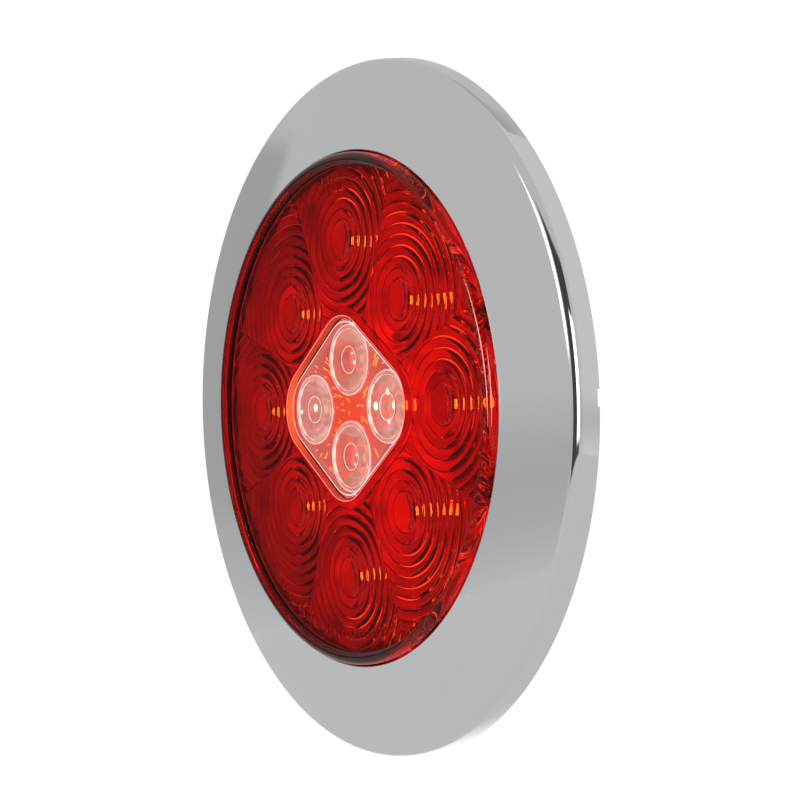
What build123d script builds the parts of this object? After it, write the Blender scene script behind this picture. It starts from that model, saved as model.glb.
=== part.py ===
from build123d import *
import os
from math import cos, radians, sin

os.makedirs("parts", exist_ok=True)

# Round trailer tail lamp with a clear backup window and a twist-lock chrome trim ring.
# Millimetres. The lamp looks along -Y, +Z is up, and the origin is where the lamp's axis meets
# the face of the panel that carries it. A height is a distance forward of that face, so a
# negative height lies behind the panel. Angles run anticlockwise from +X, seen from the front.

# Trim ring
BEZEL_RADIUS = 70.0
BEZEL_CORNER = (69.37, 4.65)
BEZEL_OPENING_RADIUS = 51.5
BEZEL_OPENING_HEIGHT = 7.5
BEZEL_WALL = 1.8
BEZEL_CORNER_ROUND = 1.5
BEZEL_LIP_ROUND = 0.6
NOTCH_WIDTH = 3.0
NOTCH_HEIGHT = 0.8

# Bayonet lock between the trim ring and the mounting ring
LUG_COUNT = 4
LUG_SPAN = 14.0
LUG_INNER_RADIUS = 65.6
LUG_OUTER_RADIUS = 68.4
LUG_LOW = 0.2
LUG_HIGH = 1.2
TAB_RADIUS = 67.3
TAB_LOW = 1.5
TAB_HIGH = 2.7
TAB_OVERRUN = 1.0
STOP_SPAN = 2.8
STOP_GAP = 0.4

# Mounting ring and its screws
RING_RADIUS = 65.2
RING_STEP_RADIUS = 60.2
RING_OPENING_RADIUS = 52.0
RING_BASE_HEIGHT = 3.0
RING_CLAMP_HEIGHT = 4.2
RING_CLAMP_RADIUS = 58.6
SCREW_COUNT = 4
SCREW_CIRCLE_RADIUS = 62.6
SCREW_RADIUS = 1.25
SCREW_NECK_RADIUS = 1.5
SCREW_NECK_END = -0.3
SCREW_HEAD_RADIUS = 2.3
SCREW_HEAD_DEPTH = 1.2
SCREW_HEAD_CLEARANCE = 0.1
SCREW_LENGTH = 8.5
SCREW_TIP = 1.6
SCREW_HOLE_RADIUS = 1.6
DRIVE_WIDTH = 0.6
DRIVE_LENGTH = 2.6
DRIVE_DEPTH = 0.7

# Grommet
GROMMET_RADIUS = 57.0
GROMMET_FLANGE_RADIUS = 59.8
GROMMET_FLANGE_HEIGHT = 1.7
GROMMET_BACK = -10.5
GROMMET_LIP_RADIUS = 50.6
GROMMET_EDGE_ROUND = 0.8

# Housing
RIM_RADIUS = 54.3
RIM_TOP = 1.2
RIM_BACK = -8.0
BODY_RADIUS = 50.0
CAVITY_RADIUS = 48.4
WELL_RADIUS = 45.6
WELL_FLOOR = -11.5
HOUSING_BACK = -14.0
HOUSING_BACK_ROUND = 1.5
SOCKET_BACK = -27.0
SOCKET_WALL = 2.0
SOCKET_CORNER = 5.0
SOCKET_WELL_HEIGHT = 14.0
MAIN_SOCKET_WIDTH = 30.0
MAIN_SOCKET_Z = 14.0
BACKUP_SOCKET_WIDTH = 21.0
BACKUP_SOCKET_Z = -14.0

# Lenses
LENS_RADIUS = 51.1
LENS_FRONT = 9.6
LENS_FACE = 8.25
LENS_FACE_RADIUS = 49.0
LENS_FACE_ROUND = 0.5
LENS_WALL = 2.1
LENS_SHOULDER_ROUND = 1.5
LENS_FLANGE_HEIGHT = 3.0
WINDOW_CORNER_RADIUS = 8.8
WINDOW_FRONT = 7.4
WINDOW_CHAMFER = 0.7
WINDOW_FLANGE = 1.6
WINDOW_FLANGE_THICKNESS = 0.5
FRESNEL_RADIUS = 9.5
FRESNEL_PITCH = 2.0
FRESNEL_TOOTH = 0.7
FRESNEL_ROOT = 0.1
FRESNEL_LENS_SHARE = 0.75

# Light sources
WHITE_LED_X = 13.6
WHITE_LED_Z = 9.65
RED_SQUARE_RADIUS = 33.9
RED_DIAGONAL_RADIUS = 28.7
LED_SIZE = 3.5
LED_BASE = 0.8
LED_DOME_RADIUS = 1.4
LED_DOME_HEIGHT = 0.8
LED_DOME_ROUND = 0.64

# Collimators over the white light sources
CUP_RADIUS = 7.0
CUP_RIM = 0.8
CUP_TOP = 5.6
CUP_NECK_RADIUS = 3.0
CUP_BASE = -0.4
CUP_FRONT_WELL_RADIUS = 2.6
CUP_FRONT_WELL_DEPTH = 1.6
CUP_BACK_WELL_RADIUS = 2.2
CUP_BACK_WELL_DEPTH = 2.4

# Circuit board and what it carries
BOARD_RADIUS = 48.0
BOARD_THICKNESS = 1.6
BOARD_BACK = -3.4
BOARD_FRONT = BOARD_BACK + BOARD_THICKNESS
TRAY_RADIUS = 47.8
TRAY_PLATE = 0.6
TRAY_TOP = 4.8
TRAY_WALL = 1.2
TRAY_HOLE_RADIUS = 3.2
TRAY_CUP_RADIUS = 7.4
TRAY_CUP_TOP = 3.2
TRAY_CUP_WALL = 0.9
POTTING_FRONT = -5.0
COMPONENT_CHAMFER = 0.12

# Terminals
TERMINAL_RADIUS = 1.6
TERMINAL_END = -23.5
TERMINAL_TAIL_RADIUS = 0.7
TERMINAL_TAIL_END = -1.2
TERMINAL_PITCH = 9.0
TERMINAL_TIP_ROUND = 0.8
BOARD_HOLE_RADIUS = 0.8

LAMP_AXIS = Axis((0, 0, 0), (0, -1, 0))


def radial_plane(angle):
    """The half-plane at this angle whose local x is the radius and local y the height."""
    across = (cos(radians(angle)), 0, sin(radians(angle)))
    return Plane(origin=(0, 0, 0), x_dir=across, z_dir=(across[2], 0, -across[0]))


def height(value):
    """The plane across the lamp at this height, facing forward."""
    return Plane.XZ.offset(value)


def round_corner(sketch, corner, radius):
    """Round the corner of a sketch that is nearest to this point."""
    fillet(sketch.vertices().sort_by_distance(corner)[0], radius=radius)


def window_outline(margin):
    """The diamond round the four white light sources, with its corners rounded by the margin."""
    corners = [(WHITE_LED_X, 0), (0, WHITE_LED_Z), (-WHITE_LED_X, 0), (0, -WHITE_LED_Z)]
    with BuildSketch() as outline:
        Polygon(*corners, align=None)
        offset(amount=margin, kind=Kind.ARC)
    return outline.sketch


def save(piece, name):
    """Label a finished piece and write its file."""
    piece.part.label = name
    export_step(piece.part, f"parts/{name}.step")


PROFILE = radial_plane(0)

RED_LEDS = [
    (
        radius * cos(radians(angle)),
        radius * sin(radians(angle)),
    )
    for radius, first in ((RED_SQUARE_RADIUS, 0), (RED_DIAGONAL_RADIUS, 45))
    for angle in range(first, first + 360, 90)
]
WHITE_LEDS = {
    "right": (WHITE_LED_X, 0),
    "top": (0, WHITE_LED_Z),
    "left": (-WHITE_LED_X, 0),
    "bottom": (0, -WHITE_LED_Z),
}
TERMINALS = {
    "terminal_tail": (-TERMINAL_PITCH, MAIN_SOCKET_Z),
    "terminal_ground": (0, MAIN_SOCKET_Z),
    "terminal_stop_turn": (TERMINAL_PITCH, MAIN_SOCKET_Z),
    "terminal_backup": (-TERMINAL_PITCH / 2, BACKUP_SOCKET_Z),
    "terminal_backup_ground": (TERMINAL_PITCH / 2, BACKUP_SOCKET_Z),
}
# Each board component: centre across the lamp, then its width, length and how far it stands.
COMPONENTS = {
    "resistor_1": ((-33, 8), (6.4, 3.2, 0.7)),
    "resistor_2": ((-33, 2), (6.4, 3.2, 0.7)),
    "resistor_3": ((-33, -4), (6.4, 3.2, 0.7)),
    "resistor_4": ((-33, -10), (6.4, 3.2, 0.7)),
    "input_diode_tail": ((-14, 26), (2.7, 4.6, 2.2)),
    "input_diode_stop_turn": ((14, 26), (2.7, 4.6, 2.2)),
    "input_diode_backup": ((-16, -24), (2.7, 4.6, 2.2)),
    "driver_red": ((30, 6), (6.0, 5.0, 1.7)),
    "driver_white": ((26, -12), (6.0, 5.0, 1.7)),
    "capacitor_red": ((31, 18), (5.0, 4.0, 2.4)),
    "capacitor_white": ((14, -26), (5.0, 4.0, 2.4)),
}
SCREW_ANGLES = [45 + turn * 360 / SCREW_COUNT for turn in range(SCREW_COUNT)]
LUG_ANGLES = [turn * 360 / LUG_COUNT - LUG_SPAN / 2 for turn in range(LUG_COUNT)]
FACE_SLOPE = (BEZEL_OPENING_HEIGHT - BEZEL_CORNER[1]) / (BEZEL_CORNER[0] - BEZEL_OPENING_RADIUS)
BEZEL_INNER_CORNER = (
    BEZEL_CORNER[0] - BEZEL_WALL,
    BEZEL_CORNER[1] - BEZEL_WALL * (1 - FACE_SLOPE),
)

# Trim ring: a shallow cone with a flared side, and lugs inside its back edge
with BuildPart() as bezel:
    with BuildSketch(PROFILE) as bezel_profile:
        with BuildLine():
            Polyline(
                (BEZEL_RADIUS, 0),
                BEZEL_CORNER,
                (BEZEL_OPENING_RADIUS, BEZEL_OPENING_HEIGHT),
                (BEZEL_OPENING_RADIUS, BEZEL_OPENING_HEIGHT - BEZEL_WALL),
                BEZEL_INNER_CORNER,
                (BEZEL_RADIUS - BEZEL_WALL, 0),
                close=True,
            )
        make_face()
        round_corner(bezel_profile, BEZEL_CORNER, BEZEL_CORNER_ROUND)
        round_corner(bezel_profile, (BEZEL_OPENING_RADIUS, BEZEL_OPENING_HEIGHT), BEZEL_LIP_ROUND)
    revolve(axis=LAMP_AXIS)
    for lug_angle in LUG_ANGLES:
        with BuildSketch(radial_plane(lug_angle)):
            with BuildLine():
                Polyline(
                    (LUG_INNER_RADIUS, LUG_LOW),
                    (LUG_OUTER_RADIUS, LUG_LOW),
                    (LUG_OUTER_RADIUS, LUG_HIGH),
                    (LUG_INNER_RADIUS, LUG_HIGH),
                    close=True,
                )
            make_face()
        revolve(axis=LAMP_AXIS, revolution_arc=LUG_SPAN)
    with BuildSketch(height(0)):
        with Locations((BEZEL_RADIUS, 0)):
            Rectangle(BEZEL_WALL / 2, NOTCH_WIDTH)
    extrude(amount=NOTCH_HEIGHT, mode=Mode.SUBTRACT)
save(bezel, "bezel")

# Mounting ring: clamps the grommet and the lamp's flange to the panel, and takes the lugs
with BuildPart() as mounting_ring:
    with BuildSketch(PROFILE):
        with BuildLine():
            Polyline(
                (RING_RADIUS, 0),
                (RING_RADIUS, RING_BASE_HEIGHT),
                (RING_STEP_RADIUS, RING_BASE_HEIGHT),
                (RING_CLAMP_RADIUS, RING_CLAMP_HEIGHT),
                (RING_OPENING_RADIUS, RING_CLAMP_HEIGHT),
                (RING_OPENING_RADIUS, LENS_FLANGE_HEIGHT),
                (RIM_RADIUS, LENS_FLANGE_HEIGHT),
                (RIM_RADIUS, GROMMET_FLANGE_HEIGHT),
                (GROMMET_FLANGE_RADIUS, GROMMET_FLANGE_HEIGHT),
                (GROMMET_FLANGE_RADIUS, 0),
                close=True,
            )
        make_face()
    revolve(axis=LAMP_AXIS)
    for lug_angle in LUG_ANGLES:
        with BuildSketch(radial_plane(lug_angle - STOP_GAP)):
            with BuildLine():
                Polyline(
                    (RING_RADIUS - BEZEL_WALL, TAB_LOW),
                    (TAB_RADIUS, TAB_LOW),
                    (TAB_RADIUS, TAB_HIGH),
                    (RING_RADIUS - BEZEL_WALL, TAB_HIGH),
                    close=True,
                )
            make_face()
        revolve(axis=LAMP_AXIS, revolution_arc=LUG_SPAN + TAB_OVERRUN + STOP_GAP)
        with BuildSketch(radial_plane(lug_angle - STOP_GAP - STOP_SPAN)):
            with BuildLine():
                Polyline(
                    (RING_RADIUS - BEZEL_WALL, 0),
                    (TAB_RADIUS, 0),
                    (TAB_RADIUS, TAB_HIGH),
                    (RING_RADIUS - BEZEL_WALL, TAB_HIGH),
                    close=True,
                )
            make_face()
        revolve(axis=LAMP_AXIS, revolution_arc=STOP_SPAN)
    for screw_angle in SCREW_ANGLES:
        with BuildSketch(height(RING_BASE_HEIGHT)):
            with PolarLocations(SCREW_CIRCLE_RADIUS, 1, start_angle=screw_angle):
                Circle(SCREW_HOLE_RADIUS)
        extrude(amount=-RING_BASE_HEIGHT, mode=Mode.SUBTRACT)
        with BuildSketch(height(RING_BASE_HEIGHT)):
            with PolarLocations(SCREW_CIRCLE_RADIUS, 1, start_angle=screw_angle):
                Circle(SCREW_HEAD_RADIUS + SCREW_HEAD_CLEARANCE)
        with BuildSketch(height(RING_BASE_HEIGHT - SCREW_HEAD_DEPTH)):
            with PolarLocations(SCREW_CIRCLE_RADIUS, 1, start_angle=screw_angle):
                Circle(SCREW_HOLE_RADIUS)
        loft(mode=Mode.SUBTRACT)
save(mounting_ring, "mounting_ring")

# Countersunk screws with crossed drives, one group
with BuildPart() as ring_screws:
    for screw_angle in SCREW_ANGLES:
        screw_x = SCREW_CIRCLE_RADIUS * cos(radians(screw_angle))
        screw_z = SCREW_CIRCLE_RADIUS * sin(radians(screw_angle))
        screw_plane = Plane(origin=(screw_x, 0, screw_z), x_dir=(1, 0, 0), z_dir=(0, 0, -1))
        screw_axis = Axis((screw_x, 0, screw_z), (0, -1, 0))
        with BuildSketch(screw_plane):
            with BuildLine():
                Polyline(
                    (0, RING_BASE_HEIGHT),
                    (SCREW_HEAD_RADIUS, RING_BASE_HEIGHT),
                    (SCREW_NECK_RADIUS, RING_BASE_HEIGHT - SCREW_HEAD_DEPTH),
                    (SCREW_NECK_RADIUS, SCREW_NECK_END),
                    (SCREW_RADIUS, SCREW_NECK_END),
                    (SCREW_RADIUS, RING_BASE_HEIGHT - SCREW_LENGTH + SCREW_TIP),
                    (0, RING_BASE_HEIGHT - SCREW_LENGTH),
                    close=True,
                )
            make_face()
        revolve(axis=screw_axis)
        with BuildSketch(height(RING_BASE_HEIGHT)):
            with Locations((screw_x, screw_z)):
                Rectangle(DRIVE_WIDTH, DRIVE_LENGTH)
                Rectangle(DRIVE_LENGTH, DRIVE_WIDTH)
        extrude(amount=-DRIVE_DEPTH, mode=Mode.SUBTRACT)
save(ring_screws, "ring_screws")

# Grommet: flange on the panel, neck through the cut-out, lip behind the lamp's rim
with BuildPart() as grommet:
    with BuildSketch(PROFILE) as grommet_profile:
        with BuildLine():
            Polyline(
                (RIM_RADIUS, GROMMET_FLANGE_HEIGHT),
                (GROMMET_FLANGE_RADIUS, GROMMET_FLANGE_HEIGHT),
                (GROMMET_FLANGE_RADIUS, 0),
                (GROMMET_RADIUS, 0),
                (GROMMET_RADIUS, GROMMET_BACK),
                (GROMMET_LIP_RADIUS, GROMMET_BACK),
                (GROMMET_LIP_RADIUS, RIM_BACK),
                (RIM_RADIUS, RIM_BACK),
                close=True,
            )
        make_face()
        round_corner(grommet_profile, (GROMMET_RADIUS, GROMMET_BACK), GROMMET_EDGE_ROUND)
        round_corner(grommet_profile, (GROMMET_LIP_RADIUS, GROMMET_BACK), GROMMET_EDGE_ROUND)
    revolve(axis=LAMP_AXIS)
save(grommet, "grommet")

# Housing: rim, shelf for the board, well for the potting, and two plug sockets behind
SOCKETS = ((MAIN_SOCKET_WIDTH, MAIN_SOCKET_Z), (BACKUP_SOCKET_WIDTH, BACKUP_SOCKET_Z))
with BuildPart() as housing:
    with BuildSketch(PROFILE) as housing_profile:
        with BuildLine():
            Polyline(
                (CAVITY_RADIUS, RIM_TOP),
                (RIM_RADIUS, RIM_TOP),
                (RIM_RADIUS, RIM_BACK),
                (BODY_RADIUS, RIM_BACK),
                (BODY_RADIUS, HOUSING_BACK),
                (0, HOUSING_BACK),
                (0, WELL_FLOOR),
                (WELL_RADIUS, WELL_FLOOR),
                (WELL_RADIUS, BOARD_BACK),
                (CAVITY_RADIUS, BOARD_BACK),
                close=True,
            )
        make_face()
        round_corner(housing_profile, (BODY_RADIUS, HOUSING_BACK), HOUSING_BACK_ROUND)
    revolve(axis=LAMP_AXIS)
    for socket_width, socket_z in SOCKETS:
        with BuildSketch(height(HOUSING_BACK)):
            with Locations((0, socket_z)):
                RectangleRounded(
                    socket_width + 2 * SOCKET_WALL,
                    SOCKET_WELL_HEIGHT + 2 * SOCKET_WALL,
                    SOCKET_CORNER + SOCKET_WALL,
                )
                RectangleRounded(
                    socket_width, SOCKET_WELL_HEIGHT, SOCKET_CORNER, mode=Mode.SUBTRACT
                )
        extrude(amount=SOCKET_BACK - HOUSING_BACK)
    with BuildSketch(height(WELL_FLOOR)):
        with Locations(*TERMINALS.values()):
            Circle(TERMINAL_RADIUS)
    extrude(amount=HOUSING_BACK - WELL_FLOOR, mode=Mode.SUBTRACT)
save(housing, "housing")

# Red lens: a shallow cap with a raised rim, a welding flange, Fresnel optics inside and a
# diamond opening
lens_inside = LENS_FACE - LENS_WALL
with BuildPart() as lens_red:
    with BuildSketch(PROFILE) as lens_profile:
        with BuildLine():
            Polyline(
                (0, LENS_FACE),
                (LENS_FACE_RADIUS, LENS_FACE),
                (LENS_FACE_RADIUS, LENS_FRONT),
                (LENS_RADIUS, LENS_FRONT),
                (LENS_RADIUS, LENS_FLANGE_HEIGHT),
                (RIM_RADIUS, LENS_FLANGE_HEIGHT),
                (RIM_RADIUS, RIM_TOP),
                (LENS_RADIUS - LENS_WALL, RIM_TOP),
                (LENS_RADIUS - LENS_WALL, lens_inside),
                (0, lens_inside),
                close=True,
            )
        make_face()
        round_corner(lens_profile, (LENS_RADIUS, LENS_FRONT), LENS_SHOULDER_ROUND)
        round_corner(lens_profile, (LENS_FACE_RADIUS, LENS_FACE), LENS_FACE_ROUND)
    revolve(axis=LAMP_AXIS)
    # Each optic is a small plano-convex lens inside rings of sloped teeth.
    teeth_top = lens_inside + FRESNEL_ROOT
    ring_count = round(FRESNEL_RADIUS / FRESNEL_PITCH - FRESNEL_LENS_SHARE)
    teeth = [(0, teeth_top), (0, lens_inside - FRESNEL_TOOTH)]
    for ring in range(ring_count):
        inner = FRESNEL_PITCH * (ring + FRESNEL_LENS_SHARE)
        teeth.append((inner, lens_inside))
        teeth.append((inner, lens_inside - FRESNEL_TOOTH))
    teeth.append((FRESNEL_RADIUS, lens_inside))
    teeth.append((FRESNEL_RADIUS, teeth_top))
    for led_x, led_z in RED_LEDS:
        optic_plane = Plane(origin=(led_x, 0, led_z), x_dir=(1, 0, 0), z_dir=(0, 0, -1))
        with BuildSketch(optic_plane):
            with BuildLine():
                Polyline(*teeth, close=True)
            make_face()
        revolve(axis=Axis((led_x, 0, led_z), (0, -1, 0)))
    with BuildSketch(height(LENS_FACE)):
        add(window_outline(WINDOW_CORNER_RADIUS))
    extrude(amount=-2 * LENS_WALL, mode=Mode.SUBTRACT)
save(lens_red, "lens_red")

# Clear window: a plug in the diamond opening with a flange behind the red lens
with BuildPart() as lens_window:
    with BuildSketch(height(WINDOW_FRONT)):
        add(window_outline(WINDOW_CORNER_RADIUS))
    extrude(amount=lens_inside - WINDOW_FLANGE_THICKNESS - WINDOW_FRONT)
    chamfer(lens_window.faces().sort_by(Axis.Y)[0].edges(), length=WINDOW_CHAMFER)
    with BuildSketch(height(lens_inside)):
        add(window_outline(WINDOW_CORNER_RADIUS + WINDOW_FLANGE))
    extrude(amount=-WINDOW_FLANGE_THICKNESS)
save(lens_window, "lens_window")

# Collimators: solid clear cups that gather each white light source
for side, (cup_x, cup_z) in WHITE_LEDS.items():
    cup_plane = Plane(origin=(cup_x, 0, cup_z), x_dir=(1, 0, 0), z_dir=(0, 0, -1))
    with BuildPart() as collimator:
        with BuildSketch(cup_plane):
            with BuildLine():
                Polyline(
                    (0, CUP_TOP - CUP_FRONT_WELL_DEPTH),
                    (CUP_FRONT_WELL_RADIUS, CUP_TOP - CUP_FRONT_WELL_DEPTH),
                    (CUP_FRONT_WELL_RADIUS, CUP_TOP),
                    (CUP_RADIUS, CUP_TOP),
                    (CUP_RADIUS, CUP_TOP - CUP_RIM),
                )
                Spline(
                    (CUP_RADIUS, CUP_TOP - CUP_RIM),
                    (CUP_NECK_RADIUS, CUP_BASE),
                    tangents=((-0.6, -1), (-1, -1)),
                )
                Polyline(
                    (CUP_NECK_RADIUS, CUP_BASE),
                    (CUP_BACK_WELL_RADIUS, CUP_BASE),
                    (CUP_BACK_WELL_RADIUS, CUP_BASE + CUP_BACK_WELL_DEPTH),
                    (0, CUP_BASE + CUP_BACK_WELL_DEPTH),
                    (0, CUP_TOP - CUP_FRONT_WELL_DEPTH),
                )
            make_face()
        revolve(axis=Axis((cup_x, 0, cup_z), (0, -1, 0)))
    save(collimator, f"collimator_{side}")

# Reflector tray: thin plate on the board, a rim, and a low cup round each red light source
with BuildPart() as reflector:
    with BuildSketch(height(BOARD_FRONT)):
        Circle(TRAY_RADIUS)
    extrude(amount=TRAY_PLATE)
    with BuildSketch(height(BOARD_FRONT)):
        Circle(TRAY_RADIUS)
        Circle(TRAY_RADIUS - TRAY_WALL, mode=Mode.SUBTRACT)
    extrude(amount=TRAY_TOP - BOARD_FRONT)
    for led_x, led_z in RED_LEDS:
        tray_plane = Plane(origin=(led_x, 0, led_z), x_dir=(1, 0, 0), z_dir=(0, 0, -1))
        with BuildSketch(tray_plane):
            with BuildLine():
                Polyline(
                    (TRAY_HOLE_RADIUS, BOARD_FRONT),
                    (TRAY_CUP_RADIUS, TRAY_CUP_TOP),
                    (TRAY_CUP_RADIUS + TRAY_CUP_WALL, TRAY_CUP_TOP),
                    (TRAY_HOLE_RADIUS + TRAY_CUP_WALL, BOARD_FRONT),
                    close=True,
                )
            make_face()
        revolve(axis=Axis((led_x, 0, led_z), (0, -1, 0)))
    with BuildSketch(height(BOARD_FRONT)):
        with Locations(*RED_LEDS):
            Circle(TRAY_HOLE_RADIUS)
        with Locations(*WHITE_LEDS.values()):
            Circle(TRAY_HOLE_RADIUS + TRAY_CUP_WALL)
        with Locations(*TERMINALS.values()):
            Circle(TERMINAL_RADIUS)
    extrude(amount=TRAY_PLATE, mode=Mode.SUBTRACT)
save(reflector, "reflector")

# Circuit board on the housing's shelf, holed for the terminals' tails
with BuildPart() as circuit_board:
    with BuildSketch(height(BOARD_BACK)):
        Circle(BOARD_RADIUS)
        with Locations(*TERMINALS.values()):
            Circle(BOARD_HOLE_RADIUS, mode=Mode.SUBTRACT)
    extrude(amount=BOARD_THICKNESS)
save(circuit_board, "circuit_board")

# Light sources: eight red and four white, each a square package under a dome
LEDS = {f"led_red_{number}": place for number, place in enumerate(RED_LEDS, 1)}
LEDS.update({f"led_white_{side}": place for side, place in WHITE_LEDS.items()})
for led_name, led_place in LEDS.items():
    with BuildPart() as led:
        with BuildSketch(height(BOARD_FRONT)):
            with Locations(led_place):
                Rectangle(LED_SIZE, LED_SIZE)
        extrude(amount=LED_BASE)
        with BuildSketch(height(BOARD_FRONT + LED_BASE)):
            with Locations(led_place):
                Circle(LED_DOME_RADIUS)
        extrude(amount=LED_DOME_HEIGHT)
        fillet(led.faces().sort_by(Axis.Y)[0].edges(), radius=LED_DOME_ROUND)
    save(led, led_name)

# Components on the back of the board
for component_name, (component_place, component_size) in COMPONENTS.items():
    with BuildPart() as component:
        with BuildSketch(height(BOARD_BACK)):
            with Locations(component_place):
                Rectangle(component_size[0], component_size[1])
        extrude(amount=-component_size[2])
        chamfer(component.faces().sort_by(Axis.Y)[-1].edges(), length=COMPONENT_CHAMFER)
    save(component, component_name)

# Terminals: round pins from the board's back into the sockets
for terminal_name, (terminal_x, terminal_z) in TERMINALS.items():
    pin_plane = Plane(origin=(terminal_x, 0, terminal_z), x_dir=(1, 0, 0), z_dir=(0, 0, -1))
    with BuildPart() as terminal:
        with BuildSketch(pin_plane) as pin_profile:
            with BuildLine():
                Polyline(
                    (0, TERMINAL_TAIL_END),
                    (TERMINAL_TAIL_RADIUS, TERMINAL_TAIL_END),
                    (TERMINAL_TAIL_RADIUS, BOARD_BACK),
                    (TERMINAL_RADIUS, BOARD_BACK),
                    (TERMINAL_RADIUS, TERMINAL_END),
                    (0, TERMINAL_END),
                    close=True,
                )
            make_face()
            round_corner(pin_profile, (TERMINAL_RADIUS, TERMINAL_END), TERMINAL_TIP_ROUND)
        revolve(axis=Axis((terminal_x, 0, terminal_z), (0, -1, 0)))
    save(terminal, terminal_name)

# Potting: fills the well up to the components and round the terminals
with BuildPart() as potting:
    with BuildSketch(height(WELL_FLOOR)):
        Circle(WELL_RADIUS)
        with Locations(*TERMINALS.values()):
            Circle(TERMINAL_RADIUS, mode=Mode.SUBTRACT)
    extrude(amount=POTTING_FRONT - WELL_FLOOR)
    for component_place, component_size in COMPONENTS.values():
        with BuildSketch(height(BOARD_BACK)):
            with Locations(component_place):
                Rectangle(component_size[0], component_size[1])
        extrude(amount=-component_size[2], mode=Mode.SUBTRACT)
save(potting, "potting")
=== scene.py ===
from math import atan2, cos, pi, radians, sin, tau

import bmesh
import bpy
import numpy as np
from mathutils import Matrix, Vector


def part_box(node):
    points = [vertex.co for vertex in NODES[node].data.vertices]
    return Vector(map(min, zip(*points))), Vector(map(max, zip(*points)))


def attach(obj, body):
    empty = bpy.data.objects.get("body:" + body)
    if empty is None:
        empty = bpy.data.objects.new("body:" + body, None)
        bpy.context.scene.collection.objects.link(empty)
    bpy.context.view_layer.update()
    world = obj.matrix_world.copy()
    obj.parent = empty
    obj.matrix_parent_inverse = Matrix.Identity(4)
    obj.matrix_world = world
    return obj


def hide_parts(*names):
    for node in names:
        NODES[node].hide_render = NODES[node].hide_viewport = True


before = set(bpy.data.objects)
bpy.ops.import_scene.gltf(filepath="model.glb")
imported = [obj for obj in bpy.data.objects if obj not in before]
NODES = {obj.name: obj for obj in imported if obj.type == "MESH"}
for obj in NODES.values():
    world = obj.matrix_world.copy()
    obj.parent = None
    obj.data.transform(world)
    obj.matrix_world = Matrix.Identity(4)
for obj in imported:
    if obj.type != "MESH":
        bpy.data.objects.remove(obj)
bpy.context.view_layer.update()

# The lamp looks along -Y. "Height" is the distance forward of the panel's face, so it is -Y.
# Lengths named in this script are in millimetres; MM turns them into Blender's metres.
MM = 0.001
LAMP = "lamp"
BEZEL = "bezel"


# ---------------------------------------------------------------- measures taken from the frame

def node_centre(node):
    """A node's centre across the lamp, as (x, z) in millimetres."""
    low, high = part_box(node)
    return (low.x + high.x) / 2 / MM, (low.z + high.z) / 2 / MM


def node_heights(node):
    """A node's lowest and highest height in millimetres."""
    low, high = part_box(node)
    return -high.y / MM, -low.y / MM


def node_radius(node):
    """Half a node's width across the lamp in millimetres."""
    low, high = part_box(node)
    return (high.z - low.z) / 2 / MM


RED_LED_NODES = sorted(n for n in NODES if n.startswith("led_red"))
WHITE_LED_NODES = sorted(n for n in NODES if n.startswith("led_white"))
CUP_NODES = sorted(n for n in NODES if n.startswith("collimator"))
RED_CENTRES = [node_centre(n) for n in RED_LED_NODES]
CUP_CENTRES = [node_centre(n) for n in CUP_NODES]
WINDOW_X = node_centre("collimator_right")[0]
WINDOW_Z = node_centre("collimator_top")[1]
LENS_BACK, LENS_FRONT = node_heights("lens_red")
WINDOW_BACK, WINDOW_FRONT = node_heights("lens_window")
CUP_BACK, CUP_FRONT = node_heights("collimator_top")
RIM_RADIUS = node_radius("housing")


# ---------------------------------------------------------------- mesh helpers

def make_object(name, vertices, faces, smooth_angle=32):
    """A mesh object from vertices (x, height, z) in millimetres, merged and smoothed."""
    mesh = bpy.data.meshes.new(name)
    placed = [(x * MM, -height * MM, z * MM) for x, height, z in vertices]
    mesh.from_pydata(placed, [], faces)
    tidy_mesh(mesh, smooth_angle)
    piece = bpy.data.objects.new(name, mesh)
    bpy.context.scene.collection.objects.link(piece)
    return piece


def tidy_mesh(mesh, smooth_angle=32):
    """Merge doubled points, drop faces without area, point the faces outwards and smooth them."""
    work = bmesh.new()
    work.from_mesh(mesh)
    bmesh.ops.remove_doubles(work, verts=work.verts, dist=1e-7)
    bmesh.ops.dissolve_degenerate(work, edges=work.edges, dist=1e-7)
    bmesh.ops.recalc_face_normals(work, faces=work.faces)
    work.to_mesh(mesh)
    work.free()
    mesh.shade_smooth()
    mesh.set_sharp_from_angle(angle=radians(smooth_angle))


def rounded(points, radii, steps=6):
    """A closed outline with its corners rounded: points and one radius for each."""
    outline = []
    count = len(points)
    for index, (corner, radius) in enumerate(zip(points, radii)):
        here = np.array(corner, float)
        if not radius:
            outline.append(tuple(here))
            continue
        before = np.array(points[index - 1], float) - here
        after = np.array(points[(index + 1) % count], float) - here
        before /= np.linalg.norm(before)
        after /= np.linalg.norm(after)
        half = np.arccos(np.clip(before @ after, -1, 1)) / 2
        centre = here + (before + after) / np.linalg.norm(before + after) * radius / sin(half)
        start = here + before * radius / np.tan(half) - centre
        end = here + after * radius / np.tan(half) - centre
        for step in range(steps + 1):
            mix = step / steps
            turn = pi - 2 * half
            arm = (sin((1 - mix) * turn) * start + sin(mix * turn) * end) / sin(turn)
            outline.append(tuple(centre + arm))
    return outline


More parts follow.
